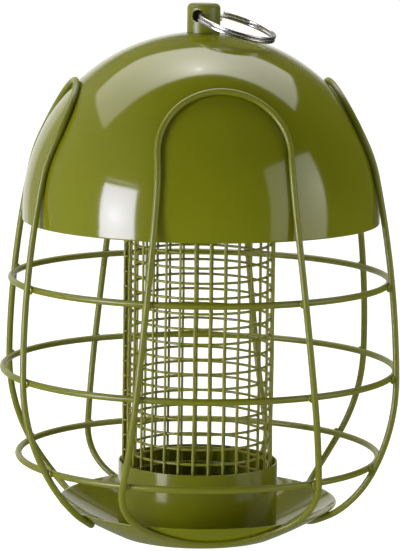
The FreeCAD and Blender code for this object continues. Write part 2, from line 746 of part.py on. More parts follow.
make_roof_dome()
make_roof_stalk()
make_stalk_screw()
make_stalk_washer()
for loop_name in LOOP_TURNS:
    make_arch(loop_name)
make_ring("top_ring", "Sizes.top_ring_height")
make_split_ring()
for loop_name in LOOP_TURNS:
    make_loop(loop_name)
make_ring("middle_ring", "Sizes.waist_height")
make_ring("bottom_ring", "Sizes.bottom_ring_height")
make_seed_tray()
make_feed_cup()
make_tube_uprights()
make_hoops("lower_hoops", "Sizes.cup_floor + Sizes.hoop_margin", "Sizes.lower_hoop_count")
upper_hoop_start = "Sizes.cup_floor + Sizes.hoop_margin + Sizes.hoop_pitch * Sizes.lower_hoop_count"
make_hoops("upper_hoops", upper_hoop_start, "Sizes.upper_hoop_count")
make_tube_seam()
doc.recompute()
check_document()
write_parts()
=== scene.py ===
import math

import bmesh
import bpy
from bpy.props import FloatProperty, FloatVectorProperty, IntProperty, PointerProperty
from bpy.types import Operator, Panel, PropertyGroup
from mathutils import Matrix, Vector


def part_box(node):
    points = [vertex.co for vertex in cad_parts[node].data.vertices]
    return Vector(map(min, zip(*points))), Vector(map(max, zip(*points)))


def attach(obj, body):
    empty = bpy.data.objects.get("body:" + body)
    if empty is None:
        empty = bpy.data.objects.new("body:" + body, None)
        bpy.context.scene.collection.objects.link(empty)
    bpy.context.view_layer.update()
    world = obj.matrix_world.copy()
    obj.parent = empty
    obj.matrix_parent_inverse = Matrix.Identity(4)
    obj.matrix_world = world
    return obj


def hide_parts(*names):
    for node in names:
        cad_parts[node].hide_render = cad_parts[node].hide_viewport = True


bl_info = {
    "name": "Acorn Bird Feeder",
    "version": (1, 0, 0),
    "blender": (4, 5, 0),
    "location": "View3D > Sidebar > Feeder",
    "description": "Dresses the packed feeder in gloss enamel, welds, mesh and a bright split ring",
    "category": "Object",
}

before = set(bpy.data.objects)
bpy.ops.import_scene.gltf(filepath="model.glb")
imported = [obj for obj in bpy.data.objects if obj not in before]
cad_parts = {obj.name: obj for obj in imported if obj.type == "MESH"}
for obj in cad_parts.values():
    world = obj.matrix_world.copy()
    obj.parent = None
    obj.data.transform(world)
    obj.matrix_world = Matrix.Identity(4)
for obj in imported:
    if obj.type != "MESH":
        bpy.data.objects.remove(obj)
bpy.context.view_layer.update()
MM = 0.001

# The four wire loops, and each half of the cage: the body it rides on, its rings, and the ending
# of its legs' names.
LOOPS = ("right", "back", "left", "front")
CAGE = (("roof", ("top_ring",), "_arch"), ("base", ("middle_ring", "bottom_ring"), "_loop"))

# How finely curves are drawn: steps round a turned piece, along an arc or round a wire.
ROOF_SEGMENTS, TRAY_SEGMENTS, CUP_SEGMENTS = 256, 192, 160
ROOF_ARC_STEPS, ROOF_RIM_STEPS, SAG_STEPS = 72, 8, 12
CORNER_STEPS, BEVEL_STEPS = 6, 2
COIL_STEPS, COIL_CORNER_STEPS = 96, 6
MESH_WIRE_SIDES, UPRIGHT_POINTS, HOOP_POINTS, HOOP_END_POINTS = 10, 40, 120, 10
WELD_FINENESS, MESH_WELD_FINENESS = 3, 2

# Degrees from which an edge is sharp, on pressed or bent pieces and on turned or cut ones, and
# from which it is rounded.
BENT_SHARP, CUT_SHARP, ROUNDED_FROM = 40, 35, 50

# Rounding of the cut edges of the stalk, the washer and the seam strip.
STALK_EDGE, WASHER_EDGE, SEAM_EDGE = 0.3 * MM, 0.12 * MM, 0.3 * MM

# A face of the stalk is in the bore when it is this far inside the stalk and not level. Those
# faces are darkened as painted shade.
BORE_INSET, LEVEL_FACE = 0.7 * MM, 0.98

# Heights of the points where the roof's faces end above the rim, and the rounding of the tray's
# and the cup's rims, as shares of the sheet.
ROOF_RIM_SHARES = (0.9, 0.5)
TRAY_RIM_SHARE, CUP_RIM_SHARE = 0.3, 0.35

# Turns of the split ring. The least and greatest swelling of a weld on the cage, and the seed of
# the draw between them.
COILS = 2.0
WELD_SWELL, WELD_SEED = (0.85, 1.12), 5

# The mesh: how far its hoops are inside the uprights as a share of the wire, the size of the
# patches in which its wires stray, in millimetres, and how far they stray along each axis.
HOOP_INSET = 0.96
STRAY_PATCH_MM, STRAY_DETAIL, STRAY_REACH = 34.0, 1.0, (2.0, 2.0, 1.4)

# A hoop's end on the seam: where it starts inside the uprights, its reach to each side as a share
# of the strip, how far it slants, how hard it is pressed on, and its radius as a share of the wire.
END_INSET, END_SPAN, END_SLANT, END_PRESS, END_WIRE = 0.2 * MM, 0.95, 0.5 * MM, 0.5 * MM, 0.42

# A point nearer to the axis than the first is on it. Vertices nearer together than the second are
# merged.
ON_AXIS = 1e-7
MERGE_WITHIN = 0.002 * MM


def linear(hex_colour):
    """An sRGB hex colour as linear red, green and blue."""
    found = []
    for start in (1, 3, 5):
        level = int(hex_colour[start:start + 2], 16) / 255
        found.append(level / 12.92 if level <= 0.04045 else ((level + 0.055) / 1.055) ** 2.4)
    return tuple(found)


def length(name, description, millimetres):
    """A size that a user may change, given in millimetres."""
    return FloatProperty(name=name, description=description, default=millimetres * MM,
                         subtype="DISTANCE", unit="LENGTH", precision=5)


def bearing(name, description, degrees):
    """An angle that a user may change, given in degrees."""
    return FloatProperty(name=name, description=description, default=math.radians(degrees),
                         subtype="ANGLE")


def colour(name, description, hex_colour):
    """A colour that a user may change."""
    return FloatVectorProperty(name=name, description=description, default=linear(hex_colour),
                               subtype="COLOR", size=3, min=0.0, max=1.0)


class FeederSizes(PropertyGroup):
    roof_radius: length("Roof radius", "Outer radius of the roof", 88.8)
    roof_rim: length("Roof rim", "Height of the roof's rim", 158.0)
    roof_skirt: length("Roof skirt", "Straight part of the roof above its rim", 4.7)
    sheet: length("Sheet", "Thickness of the pressed sheet steel", 0.8)
    screw_hole: length("Screw hole", "Radius of the hole in the top of the roof", 2.3)
    wire: length("Cage wire", "Diameter of the cage wire", 3.2)
    joint_edge: length("Joint edge", "Rounding of the cut wire ends at the leg joints", 0.42)
    weld_long: length("Weld length", "Half the length of a weld along the ring", 2.5)
    weld_high: length("Weld height", "Half the height of a weld along the leg", 2.3)
    weld_deep: length("Weld depth", "Half the depth of a weld between the wires", 1.25)
    tray_flat: length("Tray flat", "Radius of the tray's flat bottom", 41.0)
    tray_rim: length("Tray rim", "Radius of the tray's rim", 70.4)
    tray_height: length("Tray height", "Height of the tray's rim", 16.4)
    tray_sag: length("Tray sag", "How far the tray's wall curves below a straight line", 0.7)
    tray_bend: length("Tray bend", "Bend radius between the tray's bottom and its wall", 5.0)
    cup_radius: length("Cup radius", "Outer radius of the cup", 40.0)
    cup_height: length("Cup height", "Height of the cup", 35.6)
    cup_bend: length("Cup bend", "Bend radius at the cup's foot", 2.0)
    tube_radius: length("Tube radius", "Radius of the tube to the middle of its uprights", 36.6)
    tube_height: length("Tube height", "Height of the mesh tube", 231.0)
    mesh_wire: length("Mesh wire", "Diameter of the mesh wire", 1.3)
    mesh_weld: length("Mesh weld", "Radius of the weld where two mesh wires cross", 0.92)
    mesh_wave: length("Mesh wave", "How far the mesh wires stray from true", 0.45)
    uprights: IntProperty(name="Uprights", description="Wires round the tube", default=31, min=3)
    hoops: IntProperty(name="Hoops", description="Hoops up the tube", default=31, min=2)
    hoop_margin: length("Hoop margin", "Height of the lowest hoop above the tube's foot", 2.7)
    hoop_tilt: bearing("Hoop tilt", "How far the hoops dip to the front", 1.8)
    seam_width: length("Seam width", "Width of the strip that closes the mesh", 3.6)
    seam_thickness: length("Seam thickness", "Thickness of that strip", 1.0)
    seam_turn: bearing("Seam turn", "Place of the seam round the tube", 176.9)
    stalk_radius: length("Stalk radius", "Radius of the stalk that the ring passes through", 8.2)
    ring_radius: length("Ring radius", "Radius of the split ring", 19.2)
    ring_wire: length("Ring wire", "Width of the split ring's wire", 1.3)
    ring_edge: length("Ring edge", "Rounding of the split ring's wire", 0.58)
    ring_step: length("Ring step", "Step from one coil of the split ring to the next", 1.75)
    ring_height: length("Ring height", "Height at which the ring hangs in the stalk", 259.4)
    ring_flattening: FloatProperty(name="Ring flattening", default=1.26, min=1.0,
                                   description="Height of the ring's wire as a share of its width")
    ring_turn: bearing("Ring turn", "Way that the split ring has fallen, to the front", 30.0)
    ring_tilt: bearing("Ring tilt", "Fall of the split ring below level", 18.0)
    ring_end: bearing("Ring end", "Place of the wire's ends round the split ring", 135.0)


class FeederColours(PropertyGroup):
    enamel: colour("Enamel", "Olive stove enamel", "#6C700E")
    enamel_deep: colour("Deep enamel", "Enamel where it lies thick", "#64680B")
    mesh: colour("Mesh enamel", "Enamel on the mesh", "#929238")
    nickel: colour("Nickel", "Bright plate of the split ring", "#D4D3CF")
    zinc: colour("Zinc", "Plate of the screw and washer", "#A9AAA6")
    floor: colour("Floor", "Pale studio floor", "#FFFFFF")


def sizes():
    """The feeder's sizes, as the scene holds them."""
    return bpy.context.scene.feeder_sizes


def colours():
    """The feeder's colours, as the scene holds them."""
    return bpy.context.scene.feeder_colours


# Node trees

def put(tree, kind, inputs=None, **settings):
    """Adds one node, sets its properties, and fills or links its inputs."""
    node = tree.nodes.new(kind)
    for name, value in settings.items():
        setattr(node, name, value)
    for key, value in (inputs or {}).items():
        for source in value if isinstance(value, list) else [value]:
            if isinstance(source, bpy.types.NodeSocket):
                tree.links.new(source, node.inputs[key])
            else:
                node.inputs[key].default_value = source
    return node


def first(tree, kind, inputs=None, **settings):
    """Adds one node as put does, and gives its first output."""
    return put(tree, kind, inputs, **settings).outputs[0]


def calculate(tree, operation, *values):
    """What one sum makes of levels that are numbers or outputs."""
    return first(tree, "ShaderNodeMath", dict(enumerate(values)), operation=operation)


def noise(tree, place, patch_mm, detail):
    """A level that changes softly, in patches of a size in millimetres."""
    return put(tree, "ShaderNodeTexNoise", {
        "Vector": place, "Scale": 1 / (patch_mm * MM), "Detail": detail}).outputs["Fac"]


# Finishes

# Enamel: the patches in which its tone and its gloss change, in millimetres, the range of the
# gloss, and the refraction of its resin.
TONE_PATCH_MM, TONE_DETAIL = 28.0, 2.0
GLOSS_PATCH_MM, GLOSS_DETAIL, GLOSS_RANGE = 9.0, 3.0, (0.8, 1.25)
RIPPLE_DETAIL = 1.5
ENAMEL_IOR = 1.52

# Plate: the detail, tone and depth in millimetres of its fine marks, and the range of its gloss.
MARK_DETAIL, MARK_TONE, MARK_DEPTH_MM = 4.0, 0.86, 0.0006
PLATE_RANGE = (0.6, 1.5)

# Each enamel finish: its colour and the share of that colour, its roughness, and the width and
# depth of its ripple in millimetres. On sheet the film is a mirror. On wire and mesh it is thin
# and duller. In the stalk's bore the deep tone is cut to a fifth as painted shade, so that the
# bore looks nearly black, and the film there is rough.
ENAMELS = {
    "olive_enamel_on_sheet": ("enamel", 1.0, 0.09, 7.0, 0.006),
    "olive_enamel_on_wire": ("enamel", 1.0, 0.36, 2.6, 0.02),
    "olive_enamel_on_tray": ("enamel", 1.0, 0.08, 12.0, 0.035),
    "olive_enamel_on_cup": ("enamel", 1.0, 0.14, 9.0, 0.008),
    "enamel_in_the_bore": ("enamel_deep", 0.2, 0.7, 0.8, 0.03),
    "olive_enamel_on_mesh": ("mesh", 1.0, 0.28, 1.6, 0.03),
}

# Each plated finish: its colour, its roughness, and the width of its marks in millimetres.
PLATES = {
    "bright_nickel_plate": ("nickel", 0.24, 0.9),
    "zinc_plated_steel": ("zinc", 0.3, 0.5),
}


def new_material(name):
    """An empty material."""
    surface = bpy.data.materials.new(name)
    surface.use_nodes = True
    surface.node_tree.nodes.clear()
    return surface


def finish_material(surface, shader):
    """Ends a material with its shader."""
    put(surface.node_tree, "ShaderNodeOutputMaterial", {"Surface": shader.outputs[0]})
    return surface


def gloss_enamel(name, base, deep, roughness, ripple_mm, ripple_depth_mm):
    """Stove enamel, sprayed on steel and baked: an even olive with a hard gloss that mirrors lamps.

    The eye sees crisp reflections that the film's slow ripple bends a little, and a tone that
    deepens softly where the film is thick.
    """
    surface = new_material(name)
    tree = surface.node_tree
    place = put(tree, "ShaderNodeTexCoord").outputs["Object"]
    film = noise(tree, place, TONE_PATCH_MM, TONE_DETAIL)
    tone = put(tree, "ShaderNodeMix", {0: film, 6: (*base, 1.0), 7: (*deep, 1.0)}, data_type="RGBA")
    haze = noise(tree, place, GLOSS_PATCH_MM, GLOSS_DETAIL)
    least, most = GLOSS_RANGE
    gloss = first(tree, "ShaderNodeMapRange", {
        "Value": haze, "To Min": roughness * least, "To Max": roughness * most})
    ripple = noise(tree, place, ripple_mm, RIPPLE_DETAIL)
    bump = first(tree, "ShaderNodeBump", {
        "Height": ripple, "Strength": 1.0, "Distance": ripple_depth_mm * MM})
    shader = put(tree, "ShaderNodeBsdfPrincipled", {
        "Base Color": tone.outputs[2], "Roughness": gloss, "Normal": bump, "IOR": ENAMEL_IOR})
    return finish_material(surface, shader)


def bright_plate(name, base, roughness, scratch_mm):
    """Plated steel: a clear metal mirror, with fine marks from drawing and handling."""
    surface = new_material(name)
    tree = surface.node_tree
    place = put(tree, "ShaderNodeTexCoord").outputs["Object"]
    marks = noise(tree, place, scratch_mm, MARK_DETAIL)
    least, most = PLATE_RANGE
    gloss = first(tree, "ShaderNodeMapRange", {
        "Value": marks, "To Min": roughness * least, "To Max": roughness * most})
    dulled = tuple(level * MARK_TONE for level in base)
    tint = put(tree, "ShaderNodeMix", {0: marks, 6: (*base, 1.0), 7: (*dulled, 1.0)},
               data_type="RGBA")
    bump = first(tree, "ShaderNodeBump", {
        "Height": marks, "Strength": 1.0, "Distance": MARK_DEPTH_MM * MM})
    shader = put(tree, "ShaderNodeBsdfPrincipled", {
        "Base Color": tint.outputs[2], "Roughness": gloss, "Normal": bump, "Metallic": 1.0})
    return finish_material(surface, shader)


def material(name):
    """One of the feeder's finishes, made when it is first asked for."""
    found = bpy.data.materials.get(name)
    if found:
        return found
    tones = colours()
    if name in ENAMELS:
        tone, share, *film = ENAMELS[name]
        base = tuple(level * share for level in getattr(tones, tone))
        return gloss_enamel(name, base, tuple(tones.enamel_deep), *film)
    tone, *marks = PLATES[name]
    return bright_plate(name, tuple(getattr(tones, tone)), *marks)


# Meshes

def link(name, data):
    """A new object in the scene that shows a mesh or a camera."""
    thing = bpy.data.objects.new(name, data)
    bpy.context.scene.collection.objects.link(thing)
    return thing


def add_piece(name, mesh, finish, body, slot, *nodes):
    """Links a finished mesh as a piece that rides on a body and stands for CAD nodes."""
    piece = link(name, mesh)
    if finish:
        mesh.materials.clear()
        mesh.materials.append(material(finish))
    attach(piece, body)
    if nodes:
        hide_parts(*nodes)


def smooth_mesh(shape, name, sharp_degrees):
    """A mesh from a bmesh, smooth except over edges sharper than an angle."""
    mesh = bpy.data.meshes.new(name)
    for face in shape.faces:
        face.smooth = True
    shape.to_mesh(mesh)
    shape.free()
    mesh.set_sharp_from_angle(angle=math.radians(sharp_degrees))
    return mesh


def round_corner(before, corner, after, radius, steps):
    """Points of an arc that rounds a corner of an outline."""
    back = (before - corner).normalized()
    on = (after - corner).normalized()
    half = back.angle(on) / 2
    centre = corner + (back + on).normalized() * (radius / math.sin(half))
    start = corner + back * (radius / math.tan(half)) - centre
    end = corner + on * (radius / math.tan(half)) - centre
    turn = start.angle_signed(end)
    return [centre + Matrix.Rotation(-turn * step / steps, 2) @ start for step in range(steps + 1)]


def round_outline(corners):
    """A closed outline of (radius out, height, rounding) with its corners rounded."""
    points = []
    for number, (out, height, rounding) in enumerate(corners):
        corner = Vector((out, height))
        if rounding <= 0:
            points.append(corner)
            continue
        before = Vector(corners[number - 1][:2])
        after = Vector(corners[(number + 1) % len(corners)][:2])
        points.extend(round_corner(before, corner, after, rounding, CORNER_STEPS))
    return points


def lathe(name, outline, segments):
    """Turns a closed outline of points about the upright axis."""
    shape = bmesh.new()
    rings = []
    for point in outline:
        if point.x < ON_AXIS:
            rings.append([shape.verts.new((0, 0, point.y))] * segments)
            continue
        ring = []
        for step in range(segments):
            angle = 2 * math.pi * step / segments
            x, y = point.x * math.cos(angle), point.x * math.sin(angle)
            ring.append(shape.verts.new((x, y, point.y)))
        rings.append(ring)
    for number, ring in enumerate(rings):
        after = rings[(number + 1) % len(rings)]
        for step in range(segments):
            following = (step + 1) % segments
            corners = [ring[step], ring[following], after[following], after[step]]
            distinct = list(dict.fromkeys(corners))
            if len(distinct) > 2:
                shape.faces.new(distinct)
    bmesh.ops.recalc_face_normals(shape, faces=shape.faces)
    return smooth_mesh(shape, name, BENT_SHARP)


def merged_copy(node):
    """A CAD node's mesh with its loose triangles merged, to be finished further."""
    shape = bmesh.new()
    shape.from_mesh(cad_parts[node].data)
    bmesh.ops.remove_doubles(shape, verts=shape.verts, dist=MERGE_WITHIN)
    return shape


def plain_mesh(thing):
    """What an object's modifiers make of it, as a plain mesh."""
    bpy.context.view_layer.update()
    shown = thing.evaluated_get(bpy.context.evaluated_depsgraph_get())
    mesh = bpy.data.meshes.new_from_object(shown)
    mesh.name = thing.name
    bpy.data.objects.remove(thing)
    return mesh


def cad_mesh(name, node, sharp_degrees, edge=0.0):
    """A CAD node's mesh with smooth faces, and with its sharp edges rounded where asked for."""
    mesh = smooth_mesh(merged_copy(node), name, sharp_degrees)
    if not edge:
        return mesh
    thing = link(name, mesh)
    bevel = thing.modifiers.new("edges", "BEVEL")
    bevel.width = edge
    bevel.segments = BEVEL_STEPS
    bevel.limit_method = "ANGLE"
    bevel.angle_limit = math.radians(ROUNDED_FROM)
    bevel.harden_normals = False
    return plain_mesh(thing)


def wire_centres(node, height):
    """Where a wire node crosses a height: the middle of each cut, in the row frame."""
    shape = merged_copy(node)
    whole = shape.verts[:] + shape.edges[:] + shape.faces[:]
    cut = bmesh.ops.bisect_plane(shape, geom=whole, plane_co=(0, 0, height), plane_no=(0, 0, 1))
    points = [item.co.copy() for item in cut["geom_cut"] if isinstance(item, bmesh.types.BMVert)]
    shape.free()
    apart = 3 * sizes().wire
    centres = []
    while points:
        start = points[0]
        near = [point for point in points if (point - start).length < apart]
        points = [point for point in points if (point - start).length >= apart]
        low = Vector([min(point[axis] for point in near) for axis in range(3)])
        high = Vector([max(point[axis] for point in near) for axis in range(3)])
        centres.append((low + high) / 2)
    return centres


# Geometry trees

def new_tree(name, inputs):
    """A geometry tree with named inputs, as (tree, its inputs by name)."""
    tree = bpy.data.node_groups.new(name, "GeometryNodeTree")
    tree.interface.new_socket("Geometry", in_out="INPUT", socket_type="NodeSocketGeometry")
    for label, kind in inputs:
        tree.interface.new_socket(label, in_out="INPUT", socket_type="NodeSocket" + kind)
    tree.interface.new_socket("Geometry", in_out="OUTPUT", socket_type="NodeSocketGeometry")
    return tree, put(tree, "NodeGroupInput").outputs


def wire_along(tree, curve, radius, caps):
    """Round mesh wire that follows a curve."""
    section = first(tree, "GeometryNodeCurvePrimitiveCircle", {
        "Resolution": MESH_WIRE_SIDES, "Radius": radius})
    return first(tree, "GeometryNodeCurveToMesh", {
        "Curve": curve, "Profile Curve": section, "Fill Caps": caps})


def column_of(tree, count, start, step):
    """Points in an upright row."""
    return first(tree, "GeometryNodeMeshLine", {
        "Count": count, "Start Location": start, "Offset": step})


def copies(tree, points, shape, **placing):
    """A copy of a shape on each point."""
    return first(tree, "GeometryNodeInstanceOnPoints", {
        "Points": points, "Instance": shape, **placing})


def realized(tree, geometry):
    """Instances made real."""
    return first(tree, "GeometryNodeRealizeInstances", {"Geometry": geometry})


def finish_tree(tree, geometry, finish):
    """Ends a tree: instances made real, smooth faces, and the material."""
    smooth = first(tree, "GeometryNodeSetShadeSmooth", {
        "Geometry": realized(tree, geometry), "Shade Smooth": True})
    painted = first(tree, "GeometryNodeSetMaterial", {"Geometry": smooth, "Material": finish})
    put(tree, "NodeGroupOutput", {0: painted})


def grown_mesh(name, tree, values, points=()):
    """The plain mesh that a geometry tree makes, from points where it wants them."""
    start = bpy.data.meshes.new(name)
    start.from_pydata(points, [], [])
    thing = link(name, start)
    modifier = thing.modifiers.new("grow", "NODES")
    modifier.node_group = tree
    for socket in tree.interface.items_tree:
        if socket.in_out == "INPUT" and socket.name in values:
            modifier[socket.identifier] = values[socket.name]
    return plain_mesh(thing)


# Pieces

class FEEDER_OT_roof(Operator):
    """Presses the round roof, with a rounded rim and a screw hole under the stalk"""
    bl_idname = "feeder.roof"
    bl_label = "Roof"

    def execute(self, context):
        size = sizes()
        half = size.sheet / 2
        middle = Vector((size.roof_radius - half, size.roof_rim + half))
        rim = []
        for step in range(1, ROOF_RIM_STEPS):
            angle = -math.pi * step / ROOF_RIM_STEPS
            rim.append(middle + half * Vector((math.cos(angle), math.sin(angle))))
        outside, inside = self.face(size.roof_radius), self.face(size.roof_radius - size.sheet)
        mesh = lathe("roof_shell", outside + rim + inside[::-1], ROOF_SEGMENTS)
        add_piece("roof_shell", mesh, "olive_enamel_on_sheet", "roof", "roof_paint", "roof_dome")
        return {"FINISHED"}

    def face(self, radius):
        """The outline of one face of the sheet, from the screw hole down to the rim."""
        size = sizes()
        centre = size.roof_rim + size.roof_skirt
        top = math.acos(size.screw_hole / radius)
        points = []
        for step in range(ROOF_ARC_STEPS, -1, -1):
            angle = top * step / ROOF_ARC_STEPS
            points.append(Vector((radius * math.cos(angle), centre + radius * math.sin(angle))))
        for share in ROOF_RIM_SHARES:
            points.append(Vector((radius, size.roof_rim + size.sheet * share)))
        return points


class FEEDER_OT_stalk(Operator):
    """Paints the stalk, darkens its bore as painted shade, softens its edges, and plates the screw
    and washer under it
    """
    bl_idname = "feeder.stalk"
    bl_label = "Stalk and screw"

    def execute(self, context):
        knob = cad_mesh("stalk_knob", "roof_stalk", CUT_SHARP, STALK_EDGE)
        add_piece("stalk_knob", knob, "olive_enamel_on_wire", "roof", "roof_paint", "roof_stalk")
        # The bore's faces take near-black enamel: painted shade inside the hole.
        knob.materials.append(material("enamel_in_the_bore"))
        for face in knob.polygons:
            out = Vector((face.center.x, face.center.y)).length
            if out < sizes().stalk_radius - BORE_INSET and abs(face.normal.z) < LEVEL_FACE:
                face.material_index = 1
        screw = cad_mesh("pan_screw", "stalk_screw", CUT_SHARP)
        add_piece("pan_screw", screw, "zinc_plated_steel", "roof", "screw_steel", "stalk_screw")
        washer = cad_mesh("flat_washer", "stalk_washer", CUT_SHARP, WASHER_EDGE)
        add_piece("flat_washer", washer, "zinc_plated_steel", "roof", "screw_steel", "stalk_washer")
        return {"FINISHED"}


class FEEDER_OT_split_ring(Operator):
    """Winds the bright split ring from two coils of flattened wire"""
    bl_idname = "feeder.split_ring"
    bl_label = "Split ring"

    def execute(self, context):
        size = sizes()
        mesh = grown_mesh("bright_split_ring", self.make_tree(), {
            "Radius": size.ring_radius, "Step": size.ring_step, "Wire Width": size.ring_wire,
            "Wire Height": size.ring_wire * size.ring_flattening, "Edge Radius": size.ring_edge,
            "Finish": material("bright_nickel_plate")})
        bow = size.ring_radius - math.sqrt(size.ring_radius ** 2 - size.stalk_radius ** 2)
        fallen = Matrix.Rotation(-size.ring_turn, 4, "Z")
        lie = fallen @ Matrix.Rotation(size.ring_tilt, 4, "Y")
        coil_share = (math.pi - size.ring_end) / (2 * math.pi)
        middle = Vector((size.ring_radius - bow / 2, 0, size.ring_step * (0.5 - coil_share)))
        place = Matrix.Translation(Vector((0, 0, size.ring_height)) + lie @ middle)
        wound = Matrix.Rotation(size.ring_end, 4, "Z")
        centred = Matrix.Translation((0, 0, -size.ring_step))
        mesh.transform(place @ lie @ wound @ centred)
        add_piece("bright_split_ring", mesh, None, "hanging_ring", "bright_wire", "hanging_ring")
        return {"FINISHED"}

    def make_tree(self):
        """A coil about the upright axis, of wire that is higher than it is wide."""
        tree, given = new_tree("split_ring_coil", [
            ("Radius", "Float"), ("Step", "Float"), ("Wire Width", "Float"),
            ("Wire Height", "Float"), ("Edge Radius", "Float"), ("Finish", "Material")])
        coil = first(tree, "GeometryNodeCurveSpiral", {
            "Resolution": COIL_STEPS, "Rotations": COILS, "Start Radius": given["Radius"],
            "End Radius": given["Radius"], "Reverse": True,
            "Height": calculate(tree, "MULTIPLY", given["Step"], COILS)})
        flat = first(tree, "GeometryNodeCurvePrimitiveQuadrilateral", {
            "Width": given["Wire Width"], "Height": given["Wire Height"]})
        section = first(tree, "GeometryNodeFilletCurve", {
            "Curve": flat, "Count": COIL_CORNER_STEPS, "Radius": given["Edge Radius"],
            "Limit Radius": True}, mode="POLY")
        upright = first(tree, "GeometryNodeSetCurveNormal", {"Curve": coil}, mode="Z_UP")
        wire = first(tree, "GeometryNodeCurveToMesh", {
            "Curve": upright, "Profile Curve": section, "Fill Caps": True})
        finish_tree(tree, wire, given["Finish"])
        return tree


class FEEDER_OT_cage(Operator):
    """Paints the cage wires and rounds their cut ends, so that the leg joints show as fine lines"""
    bl_idname = "feeder.cage"
    bl_label = "Cage wires"

    def execute(self, context):
        for body, rings, ending in CAGE:
            legs = tuple(loop + ending for loop in LOOPS)
            for node in legs + rings:
                edge = sizes().joint_edge if node in legs else 0.0
                mesh = cad_mesh(node + "_wire", node, BENT_SHARP, edge)
                add_piece(node + "_wire", mesh, "olive_enamel_on_wire", body, "cage_paint", node)
        return {"FINISHED"}


class FEEDER_OT_welds(Operator):
    """Sets a painted weld where each ring meets a leg"""
    bl_idname = "feeder.welds"
    bl_label = "Welds"

    def execute(self, context):
        size = sizes()
        tree = self.make_tree()
        values = {"Half Depth": size.weld_deep, "Half Length": size.weld_long,
                  "Half Height": size.weld_high, "Finish": material("olive_enamel_on_wire")}
        for body, rings, ending in CAGE:
            points = []
            for ring in rings:
                points.extend(self.crossings(ring, ending))
            mesh = grown_mesh(body + "_welds", tree, values, points)
            add_piece(body + "_welds", mesh, None, body, "cage_paint")
        return {"FINISHED"}

    def crossings(self, ring, ending):
        """The places between a ring and the legs outside it."""
        low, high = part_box(ring)
        height = (low.z + high.z) / 2
        reach = high.x - sizes().wire / 2
        points = []
        for loop in LOOPS:
            for leg in wire_centres(loop + ending, height):
                out = Vector((leg.x, leg.y, 0))
                between = (out.length + reach) / 2
                points.append(out.normalized() * between + Vector((0, 0, height)))
        return points

    def make_tree(self):
        """A bead on each point, turned to the axis, with no two quite alike."""
        tree, given = new_tree("weld_beads", [
            ("Half Depth", "Float"), ("Half Length", "Float"), ("Half Height", "Float"),
            ("Finish", "Material")])
        bead = first(tree, "GeometryNodeMeshIcoSphere", {
            "Radius": 1.0, "Subdivisions": WELD_FINENESS})
        spot = first(tree, "GeometryNodeInputPosition")
        level = first(tree, "ShaderNodeVectorMath", {0: spot, 1: (1.0, 1.0, 0.0)},
                      operation="MULTIPLY")
        turn = first(tree, "FunctionNodeAlignRotationToVector", {"Vector": level}, axis="X")
        least, most = WELD_SWELL
        swell = put(tree, "FunctionNodeRandomValue", {2: least, 3: most, 8: WELD_SEED},
                    data_type="FLOAT")
        form = first(tree, "ShaderNodeCombineXYZ", {
            "X": given["Half Depth"], "Y": given["Half Length"], "Z": given["Half Height"]})
        grown = first(tree, "ShaderNodeVectorMath", {0: form, "Scale": swell.outputs[1]},
                      operation="SCALE")
        beads = copies(tree, given["Geometry"], bead, Rotation=turn, Scale=grown)
        finish_tree(tree, beads, given["Finish"])
        return tree


class FEEDER_OT_tray(Operator):
    """Presses the seed tray and the cup on it, with soft bends and rounded rims"""
    bl_idname = "feeder.tray"
    bl_label = "Tray and cup"

    def execute(self, context):
        tray = lathe("tray_dish", self.tray_outline(), TRAY_SEGMENTS)
        add_piece("tray_dish", tray, "olive_enamel_on_tray", "base", "tray_paint", "seed_tray")
        cup = lathe("nut_cup", self.cup_outline(), CUP_SEGMENTS)
        add_piece("nut_cup", cup, "olive_enamel_on_cup", "base", "tray_paint", "feed_cup")
        return {"FINISHED"}

    def tray_outline(self):
        """The tray's flat bottom and its wall, which leans out."""
        size = sizes()
        run, rise, wall = size.tray_rim - size.tray_flat, size.tray_height, size.sheet
        across = wall * math.hypot(run, rise) / rise
        shift = across - wall * run / rise
        foot_outside = Vector((size.tray_flat, 0.0))
        top_outside = Vector((size.tray_rim, rise))
        foot_inside = Vector((size.tray_flat - shift, wall))
        top_inside = Vector((size.tray_rim - across, rise))
        return round_outline([
            (0.0, 0.0, 0.0),
            (*foot_outside, size.tray_bend),
            *self.curved_wall(foot_outside, top_outside),
            (*top_outside, wall * TRAY_RIM_SHARE),
            (*top_inside, wall * TRAY_RIM_SHARE),
            *self.curved_wall(top_inside, foot_inside),
            (*foot_inside, size.tray_bend),
            (0.0, wall, 0.0)])

    def curved_wall(self, start, end):
        """Points between two corners of the tray's wall, which sags like a dish."""
        points = []
        for step in range(1, SAG_STEPS):
            point = start.lerp(end, step / SAG_STEPS)
            sag = sizes().tray_sag * math.sin(math.pi * step / SAG_STEPS)
            points.append((point.x, point.y - sag, 0.0))
        return points

    def cup_outline(self):
        """The cup, which stands on the tray's bottom."""
        size = sizes()
        wall = size.sheet
        foot, top, inside = wall, wall + size.cup_height, size.cup_radius - wall
        return round_outline([
            (0.0, foot, 0.0),
            (size.cup_radius, foot, size.cup_bend),
            (size.cup_radius, top, wall * CUP_RIM_SHARE),
            (inside, top, wall * CUP_RIM_SHARE),
            (inside, foot + wall, size.cup_bend - wall),
            (0.0, foot + wall, 0.0)])


def hoop_places():
    """The place of the lowest hoop and the step from one hoop to the next."""
    size = sizes()
    step = (size.tube_height - 2 * size.hoop_margin) / (size.hoops - 1)
    return (0, 0, 2 * size.sheet + size.hoop_margin), (0, 0, step)


